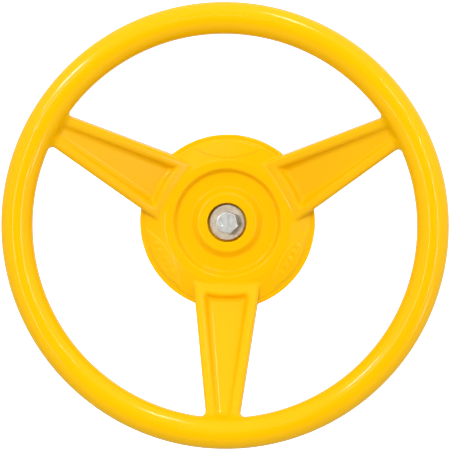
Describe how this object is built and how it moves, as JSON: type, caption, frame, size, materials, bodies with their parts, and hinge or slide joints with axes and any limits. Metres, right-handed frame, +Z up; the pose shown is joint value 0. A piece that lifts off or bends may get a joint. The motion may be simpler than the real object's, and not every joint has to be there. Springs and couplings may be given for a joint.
{
  "type": "play steering wheel",
  "caption": "Three-spoke play steering wheel with a dished hub that spins on a bolted sleeve, for a playhouse or climbing tower.",
  "frame": {"origin": "on the wheel's axis, in the plane where the rear washer rests on the board", "axes": "+Y along the wheel's axis, into the board; -Y towards the user, the wheel's front; +Z up; the wheel spins about +Y"},
  "size_m": [0.3, 0.1408, 0.3],
  "materials": {
    "yellow_moulding": "gloss, moulded",
    "bush_plastic": "natural nylon, satin",
    "zinc_steel": "bright zinc plate, lightly scuffed",
    "insert_plastic": "blue nylon"
  },
  "bodies": {
    "pivot": {"pivot_bolt": "zinc_steel", "spacer_sleeve": "zinc_steel", "front_washer": "zinc_steel", "rear_washer": "zinc_steel", "backing_washer": "zinc_steel", "lock_nut": "zinc_steel", "nut_insert": "insert_plastic"},
    "wheel": {"wheel_moulding": "yellow_moulding", "front_bush": "bush_plastic", "rear_bush": "bush_plastic"}
  },
  "joints": [
    {"name": "wheel_spin", "type": "hinge", "parent": "pivot", "child": "wheel", "pos_m": [0, -0.0108, 0], "axis": [0, 1, 0], "continuous": true}
  ]
}
